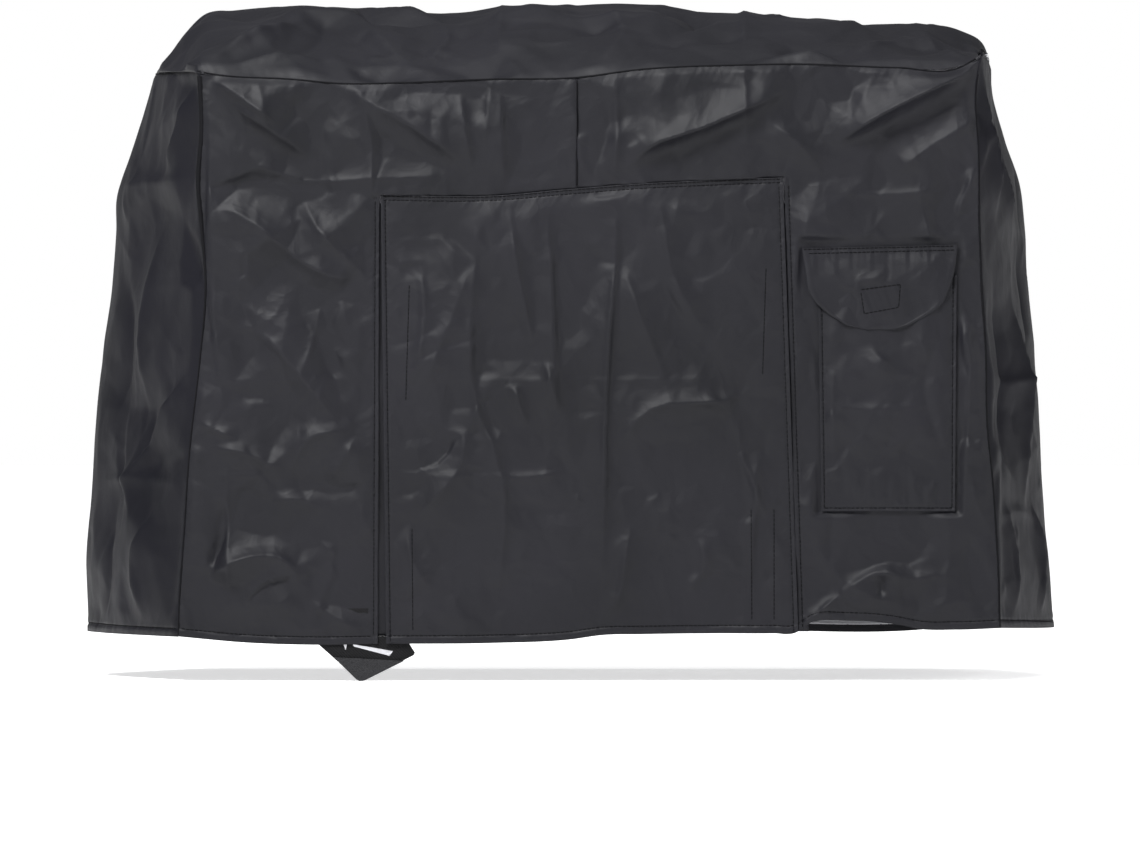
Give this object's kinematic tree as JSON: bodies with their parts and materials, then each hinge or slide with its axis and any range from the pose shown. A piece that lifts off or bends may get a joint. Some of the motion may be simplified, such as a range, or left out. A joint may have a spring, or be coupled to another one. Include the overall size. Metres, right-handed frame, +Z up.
{
  "type": "grill cover",
  "caption": "Sewn cloth cover for a cart grill: hooded box with soft gussets, a lift-up front flap, a flap pocket and hem straps.",
  "frame": {"origin": "inner face of the ridge at mid-depth, where the grill's hood carries the cover", "axes": "+X towards the pocket's side (right as seen from the front), +Y from front to back, +Z up"},
  "size_m": [1.122, 0.5728, 0.765],
  "materials": {
    "cover_cloth": "satin",
    "seam_binding": "matte",
    "hook_tape": "matte",
    "loop_tape": "matte",
    "strap_webbing": "matte",
    "silver_facing": "satin"
  },
  "bodies": {
    "cover": {"top_panel": "cover_cloth", "front_left_panel": "cover_cloth", "front_right_panel": "cover_cloth", "back_panel": "cover_cloth", "left_side_panel": "cover_cloth", "right_side_panel": "cover_cloth", "front_top_seam": "seam_binding", "back_top_seam": "seam_binding", "left_front_seam": "seam_binding", "right_front_seam": "seam_binding", "left_back_seam": "seam_binding", "right_back_seam": "seam_binding", "left_top_seam": "seam_binding", "right_top_seam": "seam_binding", "centre_seam": "seam_binding", "left_placket": "cover_cloth", "right_placket": "cover_cloth", "placket_loop_upper_left": "loop_tape", "placket_loop_lower_left": "loop_tape", "placket_loop_upper_right": "loop_tape", "placket_loop_lower_right": "loop_tape", "pocket_panel": "cover_cloth", "pocket_loop_patch": "loop_tape", "left_strap_anchor": "strap_webbing", "right_strap_anchor": "strap_webbing"},
    "front_flap": {"front_flap_panel": "cover_cloth", "flap_hook_upper_left": "hook_tape", "flap_hook_lower_left": "hook_tape", "flap_hook_upper_right": "hook_tape", "flap_hook_lower_right": "hook_tape"},
    "pocket_flap": {"pocket_flap_panel": "cover_cloth", "pocket_hook_patch": "hook_tape"},
    "left_strap": {"left_strap_webbing": "strap_webbing", "left_strap_facing": "silver_facing"},
    "right_strap": {"right_strap_webbing": "strap_webbing"}
  },
  "joints": [
    {"name": "flap_lift", "type": "hinge", "parent": "cover", "child": "front_flap", "pos_m": [0.0135, -0.28, -0.2125], "axis": [-0.9991, 0, -0.0415], "range_deg": [0, 120]},
    {"name": "pocket_flap_lift", "type": "hinge", "parent": "cover", "child": "pocket_flap", "pos_m": [0.35, -0.2815, -0.281], "axis": [-1, 0, 0], "range_deg": [0, 120]},
    {"name": "left_strap_swing", "type": "hinge", "parent": "cover", "child": "left_strap", "pos_m": [-0.232, -0.278, -0.7205], "axis": [1, 0, 0], "range_deg": [0, 75]},
    {"name": "right_strap_swing", "type": "hinge", "parent": "cover", "child": "right_strap", "pos_m": [0.3, -0.2764, -0.702], "axis": [-1, 0, 0], "range_deg": [0, 165]}
  ]
}
